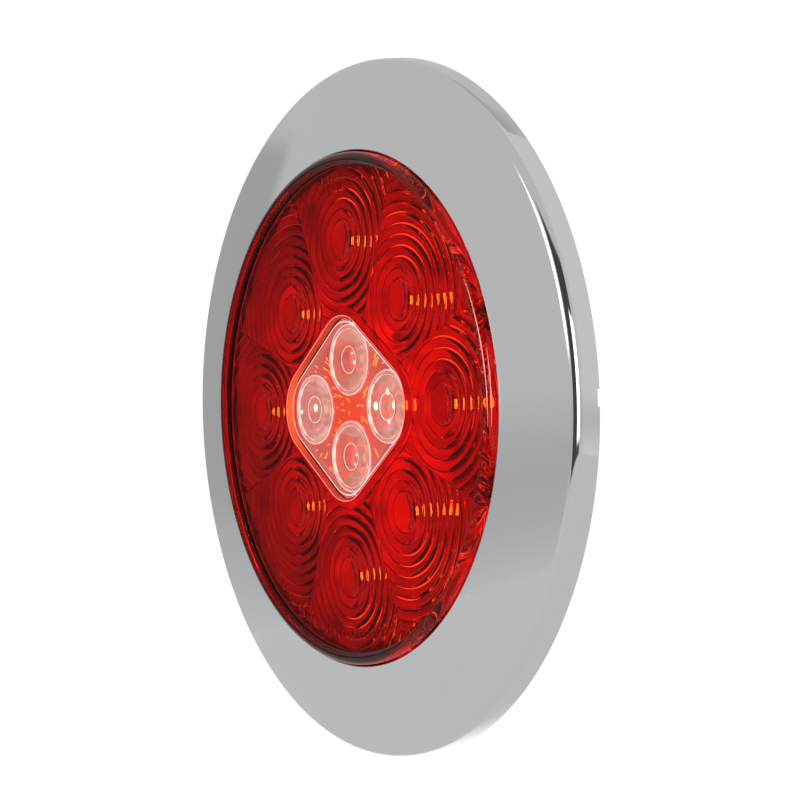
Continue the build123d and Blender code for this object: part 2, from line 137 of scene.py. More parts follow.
def lathe(name, outline, centre=(0, 0), segments=192, smooth_angle=32):
    """Turn a closed outline of (radius, height) points about the forward axis at a centre."""
    angles = np.arange(segments) * tau / segments
    radius, height = np.array(outline, float).T
    x = centre[0] + radius[:, None] * np.cos(angles)
    z = centre[1] + radius[:, None] * np.sin(angles)
    y = np.repeat(height[:, None], segments, axis=1)
    vertices = np.stack([x, y, z], axis=-1).reshape(-1, 3)
    faces = []
    count = len(outline)
    for ring in range(count):
        first, second = ring * segments, (ring + 1) % count * segments
        if radius[ring] == 0 and radius[(ring + 1) % count] == 0:
            continue
        for turn in range(segments):
            following = (turn + 1) % segments
            faces.append((first + turn, first + following, second + following, second + turn))
    return make_object(name, vertices, faces, smooth_angle)


def join(name, pieces):
    """One new object that holds the meshes of several, which are removed."""
    work = bmesh.new()
    for piece in pieces:
        work.from_mesh(piece.data)
    mesh = bpy.data.meshes.new(name)
    work.to_mesh(mesh)
    work.free()
    for piece in pieces:
        bpy.data.objects.remove(piece)
    joined = bpy.data.objects.new(name, mesh)
    bpy.context.scene.collection.objects.link(joined)
    return joined


def combine(piece, other, operation, smooth_angle=32):
    """Apply one boolean to a piece, and remove the other object."""
    modifier = piece.modifiers.new(operation, "BOOLEAN")
    modifier.object = other
    modifier.operation = operation
    modifier.solver = "MANIFOLD"
    bpy.context.view_layer.update()
    result = bpy.data.meshes.new_from_object(piece.evaluated_get(bpy.context.evaluated_depsgraph_get()))
    piece.modifiers.clear()
    piece.data = result
    bpy.data.objects.remove(other)
    tidy_mesh(result, smooth_angle)
    return piece


def loft(name, outlines, smooth_angle=32, hollow=False):
    """A solid through equal outlines of (x, height, z) points: capped, or if hollow, closed on itself."""
    count = len(outlines[0])
    vertices = [point for outline in outlines for point in outline]
    ends = [tuple(range(count)), tuple(range(len(vertices) - count, len(vertices)))]
    faces = [] if hollow else ends
    for level in range(len(outlines) if hollow else len(outlines) - 1):
        first, second = level * count, (level + 1) % len(outlines) * count
        for step in range(count):
            following = (step + 1) % count
            faces.append((first + step, first + following, second + following, second + step))
    return make_object(name, vertices, faces, smooth_angle)


def diamond(margin, steps=16):
    """The outline a margin outside the four white light sources, rounded by it, as (x, z) points."""
    corners = [(WINDOW_X, 0), (0, WINDOW_Z), (-WINDOW_X, 0), (0, -WINDOW_Z)]
    outline = []
    for index, corner in enumerate(corners):
        before, after = corners[index - 1], corners[(index + 1) % 4]
        start = atan2(corner[1] - before[1], corner[0] - before[0]) - pi / 2
        end = atan2(after[1] - corner[1], after[0] - corner[0]) - pi / 2
        sweep = (end - start) % tau
        for step in range(steps + 1):
            angle = start + sweep * step / steps
            outline.append((corner[0] + margin * cos(angle), corner[1] + margin * sin(angle)))
    return outline


def diamond_distance(x, z):
    """How far points are outside the sharp diamond through the white light sources."""
    x, z = np.abs(x), np.abs(z)
    along = np.clip(((WINDOW_X - x) * WINDOW_X + z * WINDOW_Z) / (WINDOW_X**2 + WINDOW_Z**2), 0, 1)
    return np.hypot(x - WINDOW_X * (1 - along), z - WINDOW_Z * along)


def finish_piece(piece, body, slot, material, *nodes):
    """Give a piece its material and its body, and hide the nodes it stands for; the slot is not used."""
    piece.data.materials.clear()
    piece.data.materials.append(material)
    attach(piece, body)
    if nodes:
        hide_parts(*nodes)
    return piece


# ---------------------------------------------------------------- materials

def new_material(name, colour, roughness, **inputs):
    """A material with one Principled shader; further sockets are given by name."""
    material = bpy.data.materials.new(name)
    material.use_nodes = True
    shader = shader_of(material)
    shader.inputs["Base Color"].default_value = (*colour, 1)
    shader.inputs["Roughness"].default_value = roughness
    for socket, value in inputs.items():
        shader.inputs[socket.replace("_", " ")].default_value = value
    return material


def shader_of(material):
    """A material's Principled shader."""
    return material.node_tree.nodes["Principled BSDF"]


def add_node(material, kind, **settings):
    """A node with its settings: input sockets by name, or else properties."""
    node = material.node_tree.nodes.new(kind)
    for key, value in settings.items():
        if key.replace("_", " ") in node.inputs:
            node.inputs[key.replace("_", " ")].default_value = value
        else:
            setattr(node, key, value)
    return node


def wire(material, source, output, target, socket):
    """Link a source node's output to a target node's input."""
    material.node_tree.links.new(source.outputs[output], target.inputs[socket])


def map_range(material, start, end, low, high, interpolation="LINEAR"):
    """A node that turns values from start to end into values from low to high."""
    return add_node(
        material,
        "ShaderNodeMapRange",
        interpolation_type=interpolation,
        From_Min=start,
        From_Max=end,
        To_Min=low,
        To_Max=high,
    )


def colour_ramp(material, *stops):
    """A colour ramp through stops, each a position and a colour, in rising order."""
    ramp = add_node(material, "ShaderNodeValToRGB")
    elements = ramp.color_ramp.elements
    while len(elements) < len(stops):
        elements.new(1.0)
    for element, (position, colour) in zip(elements, stops):
        element.position = position
        element.color = (*colour, 1)
    return ramp


# The texture coordinates are the lamp's own, in metres. A noise scale of 1000 therefore gives
# features about a millimetre across.

def noise_texture(material, scale, detail):
    """Noise over the lamp's own coordinates; its output is Fac."""
    noise = add_node(material, "ShaderNodeTexNoise", Scale=scale, Detail=detail)
    wire(material, add_node(material, "ShaderNodeTexCoord"), "Object", noise, "Vector")
    return noise


def split_coordinates(material):
    """The lamp's own coordinates, as a node with the outputs X, Y and Z."""
    parts = add_node(material, "ShaderNodeSeparateXYZ")
    wire(material, add_node(material, "ShaderNodeTexCoord"), "Object", parts, "Vector")
    return parts


def distance_from_axis(material):
    """The distance from the lamp's axis in metres, as a node whose output is Value."""
    stretch = add_node(material, "ShaderNodeMapping")
    stretch.inputs["Scale"].default_value = (1, 0, 1)
    length = add_node(material, "ShaderNodeVectorMath", operation="LENGTH")
    wire(material, add_node(material, "ShaderNodeTexCoord"), "Object", stretch, "Vector")
    wire(material, stretch, "Vector", length, 0)
    return length


def grain(material, scale, low, high, bump=0.0, distance=0.02):
    """Vary the roughness between two values; with a bump, also lift the surface by a distance."""
    shader = shader_of(material)
    noise = noise_texture(material, scale, 4.0)
    spread = map_range(material, 0.0, 1.0, low, high)
    wire(material, noise, "Fac", spread, "Value")
    wire(material, spread, "Result", shader, "Roughness")
    if bump:
        lift = add_node(material, "ShaderNodeBump", Strength=bump, Distance=distance * MM)
        wire(material, noise, "Fac", lift, "Height")
        wire(material, lift, "Normal", shader, "Normal")


def mottle(material, scale, first, second):
    """Vary the base colour between two colours with noise."""
    noise = noise_texture(material, scale, 3.0)
    ramp = colour_ramp(material, (0.35, first), (0.65, second))
    wire(material, noise, "Fac", ramp, "Fac")
    wire(material, ramp, "Color", shader_of(material), "Base Color")


def chrome_material():
    """Bright chrome plate with a faint unevenness."""
    material = new_material("chrome_plate", (0.75, 0.755, 0.76), 0.05, Metallic=1.0)
    grain(material, 900, 0.035, 0.075, bump=0.02, distance=0.01)
    return material


POLYCARBONATE_IOR = 1.58
ACRYLIC_IOR = 1.49
CUP_FADE_HALF = 6.0


def red_lens_material():
    """Deep red polycarbonate that gives back little of what stands before it."""
    material = new_material(
        "red_polycarbonate", (0.86, 0.018, 0.016), 0.03, IOR=POLYCARBONATE_IOR, Transmission_Weight=0.97
    )
    shader_of(material).inputs["Specular Tint"].default_value = (0.5, 0.16, 0.13, 1)
    grain(material, 700, 0.012, 0.04)
    return material


def cup_material(node):
    """Clear acrylic with a painted glow for its own source's light: lighter to the right, redder to the
    left.
    """
    material = new_material(
        f"{node}_acrylic", (0.97, 0.66, 0.6), 0.1, IOR=ACRYLIC_IOR, Transmission_Weight=0.7
    )
    shader = shader_of(material)
    middle = node_centre(node)[0]
    left, right = (middle - CUP_FADE_HALF) * MM, (middle + CUP_FADE_HALF) * MM
    across = map_range(material, left, right, 0.0, 1.0, "SMOOTHSTEP")
    # The ramp colours the painted glow, lighter to the right, redder to the left.
    tint_and_painted_glow = colour_ramp(material, (0.0, (0.14, 0.025, 0.015)), (1.0, (0.18, 0.11, 0.085)))
    wire(material, split_coordinates(material), "X", across, "Value")
    wire(material, across, "Result", tint_and_painted_glow, "Fac")
    wire(material, tint_and_painted_glow, "Color", shader, "Emission Color")
    # Noise varies the painted glow's strength.
    strength = map_range(material, 0.35, 0.65, 0.3, 1.0)
    wire(material, noise_texture(material, 420.0, 2.0), "Fac", strength, "Value")
    wire(material, strength, "Result", shader, "Emission Strength")
    grain(material, 900, 0.05, 0.12)
    return material


def clear_material(name, tint_and_painted_glow, roughness):
    """A clear plastic with no light of its own."""
    material = new_material(name, tint_and_painted_glow, roughness, IOR=ACRYLIC_IOR, Transmission_Weight=1.0)
    grain(material, 900, roughness * 0.5, roughness * 1.5)
    return material


def plastic_material(name, first, second, roughness, bump):
    """An opaque plastic with a moulded grain, mottled between two close colours."""
    material = new_material(name, first, roughness)
    mottle(material, 120, first, second)
    grain(material, 2600, roughness - 0.08, roughness + 0.08, bump=bump, distance=0.04)
    return material


def metal_material(name, colour, roughness):
    """A plated metal with a fine grain."""
    material = new_material(name, colour, roughness, Metallic=1.0)
    grain(material, 1500, roughness * 0.7, roughness * 1.4, bump=0.08)
    return material


def radial_glow(material, reach, *stops):
    """Colour a material's emission by the distance from the axis, over a reach in millimetres."""
    spread = map_range(material, 0.0, reach * MM, 0.0, 1.0)
    ramp = colour_ramp(material, *stops)
    wire(material, distance_from_axis(material), "Value", spread, "Value")
    wire(material, spread, "Result", ramp, "Fac")
    wire(material, ramp, "Color", shader_of(material), "Emission Color")


TRAY_REACH = 50.0
CAVITY_RADIUS = 48.6
CAVITY_DEPTH = 11.4


def tray_material():
    """A moulded tray with a painted red glow where the red light sources flood it, most of all in the
    middle.
    """
    # Painted light: the red base colour stands in for the red sources' light on a pale tray, and the
    # emission below is painted glow.
    material = plastic_material("tray_painted_red_glow", (0.40, 0.035, 0.02), (0.34, 0.025, 0.015), 0.3, 0.05)
    radial_glow(
        material,
        TRAY_REACH,
        (0.0, (1.0, 0.075, 0.008)),
        (0.22, (0.85, 0.055, 0.01)),
        (0.42, (0.5, 0.03, 0.02)),
        (0.62, (0.42, 0.012, 0.012)),
        (0.95, (0.12, 0.008, 0.008)),
    )
    # Noise breaks the painted glow into brighter and darker patches.
    strength = map_range(material, 0.3, 0.7, 0.3, 1.8)
    wire(material, noise_texture(material, 160.0, 2.0), "Fac", strength, "Value")
    wire(material, strength, "Result", shader_of(material), "Emission Strength")
    return material


def housing_material():
    """Black moulding; red light spills on the wall inside the cavity."""
    material = plastic_material("black_moulding", (0.02, 0.02, 0.022), (0.03, 0.03, 0.032), 0.5, 0.12)
    shader = shader_of(material)
    shader.inputs["Emission Color"].default_value = (1.0, 0.09, 0.06, 1)
    inside = map_range(material, CAVITY_RADIUS * MM, (CAVITY_RADIUS + 0.6) * MM, 0.07, 0.0)
    front = map_range(material, CAVITY_DEPTH * MM, (CAVITY_DEPTH + 0.4) * MM, 1.0, 0.0)
    both = add_node(material, "ShaderNodeMath", operation="MULTIPLY")
    wire(material, distance_from_axis(material), "Value", inside, "Value")
    wire(material, split_coordinates(material), "Y", front, "Value")
    wire(material, inside, "Result", both, 0)
    wire(material, front, "Result", both, 1)
    wire(material, both, "Value", shader, "Emission Strength")
    return material


def glow_material(name, colour, strength):
    """A surface that glows evenly in one colour."""
    material = new_material(name, colour, 0.4, Emission_Strength=strength)
    shader_of(material).inputs["Emission Color"].default_value = (*colour, 1)
    mottle(material, 3000, tuple(c * 0.8 for c in colour), colour)
    return material


def wall_material():
    """The opening's wall: brightest level with the axis, darker toward its top and bottom."""
    material = glow_material("lit_red_wall", (1.0, 0.085, 0.012), 1.0)
    rise = add_node(material, "ShaderNodeMath", operation="ABSOLUTE")
    fade = map_range(material, 1.0 * MM, 12.0 * MM, 1.1, 0.06, "SMOOTHSTEP")
    wire(material, split_coordinates(material), "Z", rise, 0)
    wire(material, rise, "Value", fade, "Value")
    wire(material, fade, "Result", shader_of(material), "Emission Strength")
    return material


# ---------------------------------------------------------------- trim ring

BEZEL_CORNER = (69.37, 4.65)
BEZEL_OPENING = (51.35, 7.85)
BEZEL_ROUNDS = (0.15, 2.1, 0.2, 0.25, 0.6, 0.15)
BEZEL_WALL = 1.8
NOTCH_WIDTH = 3.0
NOTCH_HEIGHT = 0.5
LUG_INNER = 65.6
LUG_LOW = 0.2
LUG_HIGH = 1.2
LUG_SPAN = 14
LUG_OVERLAP = 0.3


def arc_block(name, facing, span, inner, outer, low, high, steps=12):
    """A block bent round the lamp's axis: facing and span in degrees, radii and heights."""
    sections = []
    corners = ((inner, low), (outer, low), (outer, high), (inner, high))
    outline = rounded(corners, (0.15, 0, 0, 0.15), 3)
    for step in range(steps + 1):
        angle = radians(facing + span * (step / steps - 0.5))
        sections.append([(r * cos(angle), h, r * sin(angle)) for r, h in outline])
    return loft(name, sections)


def make_bezel():
    """The chrome trim ring, turned, with its four lugs and the notch in its back edge."""
    radius = node_radius("bezel")
    slope = (BEZEL_OPENING[1] - BEZEL_CORNER[1]) / (BEZEL_CORNER[0] - BEZEL_OPENING[0])
    corners = [
        (radius, 0),
        BEZEL_CORNER,
        BEZEL_OPENING,
        (BEZEL_OPENING[0], BEZEL_OPENING[1] - BEZEL_WALL),
        (BEZEL_CORNER[0] - BEZEL_WALL, BEZEL_CORNER[1] - BEZEL_WALL * (1 - slope)),
        (radius - BEZEL_WALL, 0),
    ]
    outline = rounded(corners, BEZEL_ROUNDS, steps=10)
    ring = lathe("bezel_shell", outline, segments=360)
    for facing in (0, 90, 180, 270):
        outer = radius - BEZEL_WALL + LUG_OVERLAP
        lug = arc_block("lug", facing, LUG_SPAN, LUG_INNER, outer, LUG_LOW, LUG_HIGH)
        combine(ring, lug, "UNION")
    half = NOTCH_WIDTH / 2
    start, end = radius - BEZEL_WALL / 2, radius + 1
    reach = ((start, -half), (end, -half), (end, half), (start, half))
    notch = loft("notch", [[(x, h, z) for x, z in reach] for h in (-1, NOTCH_HEIGHT)])
    combine(ring, notch, "DIFFERENCE")
    return finish_piece(ring, BEZEL, "chrome", chrome_material(), "bezel")


# ---------------------------------------------------------------- red lens

LENS_WALL = 2.1
LENS_RADIUS = 51.1
LENS_FACE = 8.25
LENS_FACE_RADIUS = 49.0
LENS_INSIDE = LENS_FACE - LENS_WALL
FLANGE_TOP = 3.0
TOOTH_PITCH = 2.1
TOOTH_SLOPE = 0.25
TOOTH_BULGE = 0.19
CENTRE_LENS_RADIUS = 4.1
CENTRE_LENS_DEPTH = 1.1
TOOTH_ROUND = 0.12
TOOTH_SHARES = (-0.08, -0.04, 0.0, 0.04, 0.08, 0.13, 0.25, 0.4, 0.55, 0.7, 0.85)
CENTRE_LENS_SHARES = (0.15, 0.3, 0.45, 0.6, 0.75, 0.9)
OPTIC_OVERLAP = 0.3
CELL_HALF_ANGLE = 22.5
CELL_GAP = 0.07
CELL_RIM_GAP = 0.6
CELL_DIAMOND_MARGIN = 10.6
LENS_ROUNDS = (0, 0.5, 0.4, 1.5, 0.3, 0.3, 0.2, 0.2, 0.5, 0)
HOLE_MARGIN = 8.85


def tooth_depth(distance):
    """How far an optic's inner face stands proud at these distances from its centre.

    The profile is a centre lens and sloped teeth, sampled finely and then blurred to round the
    teeth's tips and roots.
    """
    fine = np.arange(0, 40, 0.02)
    step = (fine - CENTRE_LENS_RADIUS) / TOOTH_PITCH % 1
    facet = (1 - step) * TOOTH_PITCH * TOOTH_SLOPE + TOOTH_BULGE * 4 * step * (1 - step)
    lens = CENTRE_LENS_DEPTH * (1 - (fine / CENTRE_LENS_RADIUS) ** 2)
    depth = np.where(fine < CENTRE_LENS_RADIUS, np.maximum(lens, 0), facet)
    reach = np.arange(-0.4, 0.41, 0.02)
    kernel = np.exp(-((reach / TOOTH_ROUND) ** 2))
    padded = np.concatenate([depth[:20][::-1], depth, depth[-20:]])
    smooth = np.convolve(padded, kernel / kernel.sum(), "valid")
    return np.interp(distance, fine[: len(smooth)], smooth)


def cell_reach(centre, angles):
    """How far an optic's cell reaches from its centre in each direction, found by halving."""
    facing = atan2(centre[1], centre[0])
    edge = radians(CELL_HALF_ANGLE)
    near, far = np.zeros(len(angles)), np.full(len(angles), 40.0)
    for _ in range(30):
        middle = (near + far) / 2
        x = centre[0] + middle * np.cos(angles)
        z = centre[1] + middle * np.sin(angles)
        along = x * cos(facing) + z * sin(facing)
        across = np.abs(-x * sin(facing) + z * cos(facing))
        inside = along * sin(edge) - across * cos(edge) > CELL_GAP
        inside &= np.hypot(x, z) < LENS_RADIUS - LENS_WALL - CELL_RIM_GAP
        inside &= diamond_distance(x, z) > CELL_DIAMOND_MARGIN
        near, far = np.where(inside, middle, near), np.where(inside, far, middle)
    return near


def make_optic(number, centre):
    """One Fresnel optic: a closed pad whose inner face carries the teeth, cut to its cell."""
    segments = 128
    angles = np.arange(segments) * tau / segments
    reach = cell_reach(centre, angles)
    radii = [CENTRE_LENS_RADIUS * share for share in CENTRE_LENS_SHARES]
    tooth = CENTRE_LENS_RADIUS
    while tooth < reach.max():
        radii += [tooth + TOOTH_PITCH * share for share in TOOTH_SHARES]
        tooth += TOOTH_PITCH
    vertices = [(centre[0], LENS_INSIDE - float(tooth_depth(0)), centre[1])]
    faces = []
    levels = [np.minimum(radius, reach) for radius in radii] + [reach]
    for level in levels:
        depth = tooth_depth(level)
        x = centre[0] + level * np.cos(angles)
        z = centre[1] + level * np.sin(angles)
        vertices += list(zip(x, LENS_INSIDE - depth, z))
    top = LENS_INSIDE + OPTIC_OVERLAP
    vertices += [(x, top, z) for x, _, z in vertices[-segments:]]
    vertices.append((centre[0], top, centre[1]))
    last = len(vertices) - 1
    for turn in range(segments):
        following = (turn + 1) % segments
        faces.append((0, 1 + turn, 1 + following))
        faces.append((last, last - segments + following, last - segments + turn))
        for level in range(len(levels)):
            first = 1 + level * segments
            second = first + segments
            faces.append((first + turn, second + turn, second + following, first + following))
    return make_object(f"optic_{number}", vertices, faces)


def make_red_lens():
    """The red lens: a rounded cap, its eight Fresnel optics, and the diamond opening."""
    corners = [
        (0, LENS_FACE),
        (LENS_FACE_RADIUS, LENS_FACE),
        (LENS_FACE_RADIUS + 0.1, LENS_FRONT),
        (LENS_RADIUS, LENS_FRONT),
        (LENS_RADIUS, FLANGE_TOP),
        (RIM_RADIUS, FLANGE_TOP),
        (RIM_RADIUS, LENS_BACK),
        (LENS_RADIUS - LENS_WALL, LENS_BACK),
        (LENS_RADIUS - LENS_WALL, LENS_INSIDE),
        (0, LENS_INSIDE),
    ]
    outline = rounded(corners, LENS_ROUNDS, steps=10)
    cap = lathe("lens_red_fresnel", outline, segments=256)
    optics = join("optics", [make_optic(n, c) for n, c in enumerate(RED_CENTRES)])
    combine(cap, optics, "UNION")
    levels = (
        (LENS_FACE + 0.4, HOLE_MARGIN + 0.6),
        (LENS_FACE - 0.02, HOLE_MARGIN + 0.2),
        (LENS_FACE - 0.08, HOLE_MARGIN + 0.1),
        (LENS_FACE - 0.2, HOLE_MARGIN),
        (LENS_INSIDE - 1.5, HOLE_MARGIN - 0.05),
    )
    cutter = loft("cutter", [[(x, h, z) for x, z in diamond(margin)] for h, margin in levels])
    combine(cap, cutter, "DIFFERENCE")
    return finish_piece(cap, LAMP, "red_lens", red_lens_material(), "lens_red")


# ---------------------------------------------------------------- clear window and cups

WINDOW_FACE_MARGIN = 7.7
WINDOW_FLANGE_MARGIN = 10.4
WINDOW_FLANGE = 0.5
CUP_RADIUS = 7.1
CUP_RIM_DEPTH = 0.8
CUP_SHOULDER = 6.6
CUP_TAPER = 3.6
CUP_CURVE = 1.35
WELL_RADIUS = 2.3
WELL_DEPTH = 1.2


def make_window():
    """The clear diamond: a plate with a sloped edge and a flange behind the red lens."""
    steps = (
        (WINDOW_FRONT, WINDOW_FACE_MARGIN),
        (WINDOW_FRONT - 0.05, 7.9),
        (WINDOW_FRONT - 0.65, 8.6),
        (WINDOW_FRONT - 0.8, 8.72),
        (WINDOW_BACK + WINDOW_FLANGE, 8.75),
        (WINDOW_BACK + WINDOW_FLANGE, WINDOW_FLANGE_MARGIN),
        (WINDOW_BACK, WINDOW_FLANGE_MARGIN),
    )
    levels = [[(x, height, z) for x, z in diamond(margin)] for height, margin in steps]
    return loft("window_plate", levels)


def make_cup(node):
    """One collimator: a clear cup with a rim, a front well and a hollow over its light source."""
    rim_back = CUP_FRONT - CUP_RIM_DEPTH
    well = [
        (0, CUP_FRONT - WELL_DEPTH),
        (1.2, CUP_FRONT - 1.3),
        (WELL_RADIUS, CUP_FRONT - 1.6),
        (2.6, CUP_FRONT - 1.4),
        (2.75, CUP_FRONT - 0.1),
        (2.9, CUP_FRONT),
    ]
    rim = [
        (6.85, CUP_FRONT),
        (7.05, CUP_FRONT - 0.08),
        (CUP_RADIUS, CUP_FRONT - 0.25),
        (CUP_RADIUS, rim_back),
    ]
    wall = []
    for step in range(1, 13):
        share = step / 12
        height = rim_back - (rim_back - CUP_BACK) * share
        wall.append((CUP_SHOULDER - CUP_TAPER * share**CUP_CURVE, height))
    hollow = [(2.2, CUP_BACK), (2.1, CUP_BACK + 1.7), (1.2, CUP_BACK + 2.2), (0, CUP_BACK + 2.4)]
    outline = well + rim + wall + hollow
    return lathe(f"{node}_optic", outline, node_centre(node), segments=96)


def edge_line(name, outline, height, radius, sides=8):
    """A thin closed bead along an outline at one height; the radius may differ by point."""
    points = np.array(outline, float)
    ahead = np.roll(points, -1, axis=0) - np.roll(points, 1, axis=0)
    ahead /= np.linalg.norm(ahead, axis=1)[:, None]
    outward = np.stack([ahead[:, 1], -ahead[:, 0]], axis=1)
    radius = np.broadcast_to(radius, len(points))
    levels = []
    for side in range(sides):
        angle = side / sides * tau
        ring = points + outward * radius[:, None] * cos(angle)
        levels.append([(x, h, z) for (x, z), h in zip(ring, height + radius * sin(angle))])
    return loft(name, levels, hollow=True)


def circle(radius, centre, segments=96):
    """A closed round outline as (x, z) points."""
    angles = np.arange(segments) * tau / segments
    return [(centre[0] + radius * cos(a), centre[1] + radius * sin(a)) for a in angles]


OPENING_WALL_BACK = 6.9
CUP_WELL_EDGE = 3.05
# A cup's lit lines: radius, thickness, and how much thicker each gets toward the left.
RIM_LINE = (7.0, 0.09, 0.08)
SHOULDER_LINE = (6.2, 0.04, 0.40)
WELL_LINE = (2.7, 0.07, 0.0)


def make_opening_wall():
    """The glowing lining of the diamond opening's wall."""
    front = LENS_FACE - 0.25
    steps = ((front, 8.84), (OPENING_WALL_BACK, 8.82), (OPENING_WALL_BACK, 8.78), (front, 8.8))
    outlines = [[(x, h, z) for x, z in diamond(margin)] for h, margin in steps]
    finish_piece(loft("opening_wall", outlines, hollow=True), LAMP, "red_lens", wall_material())


def make_cup_edges(node, light, shade):
    """Three lit lines and a dark line of painted shade on a cup's front, most of them thicker on its left.
    """
    centre = node_centre(node)
    turn = np.arange(96) / 96 * tau
    left = np.maximum(0, -np.cos(turn)) ** 1.5 * (0.75 + 0.25 * np.sin(13 * turn))
    for number, (radius, thickness, extra) in enumerate((RIM_LINE, SHOULDER_LINE, WELL_LINE)):
        name = f"{node}_edge_{number}"
        ring = edge_line(name, circle(radius, centre), CUP_FRONT - 0.12, thickness + extra * left)
        finish_piece(ring, LAMP, "clear_optic", light)
    # Painted shade: a dark bead round the well's edge.
    outline = circle(CUP_WELL_EDGE, centre)
    well = edge_line(f"{node}_well_edge", outline, CUP_FRONT - 0.1, 0.05 + 0.06 * left)
    finish_piece(well, LAMP, "clear_optic", shade)


def make_lit_edges():
    """The edges that carry the lamp's own light: the opening's, the window's and the cups'."""
    pink = glow_material("lit_red_edge", (1.0, 0.16, 0.13), 0.9)
    opening = edge_line("opening_edge", diamond(HOLE_MARGIN + 0.12), LENS_FACE - 0.08, 0.11)
    finish_piece(opening, LAMP, "red_lens", pink)
    make_opening_wall()
    white = glow_material("lit_clear_edge", (1.0, 0.74, 0.68), 1.0)
    outline = diamond(WINDOW_FACE_MARGIN + 0.05)
    window_edge = edge_line("window_edge", outline, WINDOW_FRONT - 0.08, 0.09)
    finish_piece(window_edge, LAMP, "clear_lens", white)
    shade = plastic_material("shaded_edge", (0.07, 0.02, 0.015), (0.05, 0.012, 0.01), 0.4, 0.05)
    for node in CUP_NODES:
        make_cup_edges(node, white, shade)


def bar(name, centre, angle, length, width, low, high):
    """A small straight bar across the lamp between two heights, a little smaller at its front.

    The centre is (x, z), and the angle is the one of its length.
    """
    along = np.array((cos(angle), sin(angle))) * length / 2
    across = np.array((-sin(angle), cos(angle))) * width / 2
    here = np.array(centre, float)
    corners = [here - along - across, here + along - across, here + along + across, here - along + across]
    top = [here + (corner - here) * 0.8 for corner in corners]
    levels = ((corners, low), (corners, (low + high) / 2), (top, high))
    return loft(name, [[(x, height, z) for x, z in points] for points, height in levels])


WEB_MARGIN = 8.7
WEB_HOLE = 7.2
WEB_LOW = 4.82
WEB_HIGH = 5.2
WEB_REACH = 16.0


def web_material():
    """The red web between the cups, brightest on the axis and duller out in the corners."""
    material = plastic_material("lit_web", (0.3, 0.02, 0.015), (0.24, 0.015, 0.012), 0.35, 0.08)
    shader_of(material).inputs["Emission Strength"].default_value = 1.0
    radial_glow(material, WEB_REACH, (0.3, (0.88, 0.05, 0.012)), (1.0, (0.52, 0.04, 0.02)))
    return material


def make_web():
    """A thin web on the tray's rim that fills the diamond round the four cups."""
    levels = ((WEB_LOW, WEB_MARGIN), (WEB_HIGH - 0.1, WEB_MARGIN), (WEB_HIGH, WEB_MARGIN - 0.1))
    web = loft("cup_web", [[(x, h, z) for x, z in diamond(margin)] for h, margin in levels])
    for node in CUP_NODES:
        rim = circle(WEB_HOLE, node_centre(node))
        hole = [[(x, h, z) for x, z in rim] for h in (WEB_LOW - 1, WEB_HIGH + 1)]
        combine(web, loft("hole", hole), "DIFFERENCE")
    finish_piece(web, LAMP, "reflector", web_material())


# Drops of light by cup, each with its place (x, z) from the cup's centre and its radius.
HOT_SPOTS = {
    "collimator_left": ((-1.1, 0.3, 0.75), (-5.2, -0.4, 0.5)),
    "collimator_right": ((-3.9, 0.2, 0.9), (0.3, 2.9, 0.65), (0.4, 0.3, 0.9), (0.6, -2.9, 0.5)),
    "collimator_top": ((0.3, -0.6, 0.35), (-0.5, 1.2, 0.25)),
    "collimator_bottom": ((0.4, 0.4, 0.3), (-0.3, -1.4, 0.25)),
}


def make_hot_spots():
    """Small drops of light inside the cups, where each shows its source's image."""
    material = glow_material("source_image", (1.0, 0.88, 0.66), 1.5)
    for node, spots in HOT_SPOTS.items():
        centre = node_centre(node)
        drops = []
        for x, z, size in spots:
            in_well = np.hypot(x, z) < WELL_RADIUS
            height = CUP_FRONT - (WELL_DEPTH - 0.05 if in_well else 0.1)
            outline = [(0, height - 0.02), (size, height), (size * 0.7, height + 0.12), (0, height + 0.17)]
            drops.append(lathe("drop", outline, (centre[0] + x, centre[1] + z), segments=24))
        finish_piece(join(f"{node}_image", drops), LAMP, "clear_optic", material)


def arc_bead(name, centre, radius, angles, height, thickness):
    """A thin tapered bead along an arc about a centre, at one height; the radius may vary."""
    sections = []
    radii = np.broadcast_to(radius, len(angles))
    for share, angle, arm in zip(np.linspace(0, 1, len(angles)), angles, radii):
        girth = thickness * (0.15 + 0.85 * sin(pi * share))
        section = []
        for side in range(6):
            reach = arm + girth * cos(side / 6 * tau)
            lift = height + girth * sin(side / 6 * tau)
            section.append((centre[0] + reach * cos(angle), lift, centre[1] + reach * sin(angle)))
        sections.append(section)
    return loft(name, sections)


TOOTH_LIGHT_LIMIT = 44.0
TOOTH_LIGHT_FACING = 68
TOOTH_LIGHT_HALF_SPAN = 42
TOOTH_LIGHT_TEETH = range(2, 8)
TOOTH_LIGHT_THICKNESS = 0.11


def make_tooth_lights():
    """Thin lit lines on the tips of the teeth, toward the top or bottom of all but the left optics."""
    material = glow_material("lit_tooth", (1.0, 0.25, 0.02), 2.6)
    beads = []
    for number, centre in enumerate(RED_CENTRES):
        if centre[0] < -1:  # the optics to the left show none
            continue
        facing = radians(TOOTH_LIGHT_FACING if centre[1] > -1 else -TOOTH_LIGHT_FACING)
        angles = facing + radians(TOOTH_LIGHT_HALF_SPAN) * np.linspace(-1, 1, 49)
        reach = cell_reach(centre, angles)
        for tooth in TOOTH_LIGHT_TEETH:
            radius = CENTRE_LENS_RADIUS + TOOTH_PITCH * tooth
            x = centre[0] + radius * np.cos(angles)
            z = centre[1] + radius * np.sin(angles)
            lit = angles[(reach > radius + 0.4) & (np.hypot(x, z) < TOOTH_LIGHT_LIMIT)]
            if len(lit) > 8:
                height = LENS_INSIDE - float(tooth_depth(radius)) - 0.05
                name = f"bead_{number}"
                beads.append(arc_bead(name, centre, radius, lit, height, TOOTH_LIGHT_THICKNESS))
    finish_piece(join("tooth_lights", beads), LAMP, "red_lens", material)


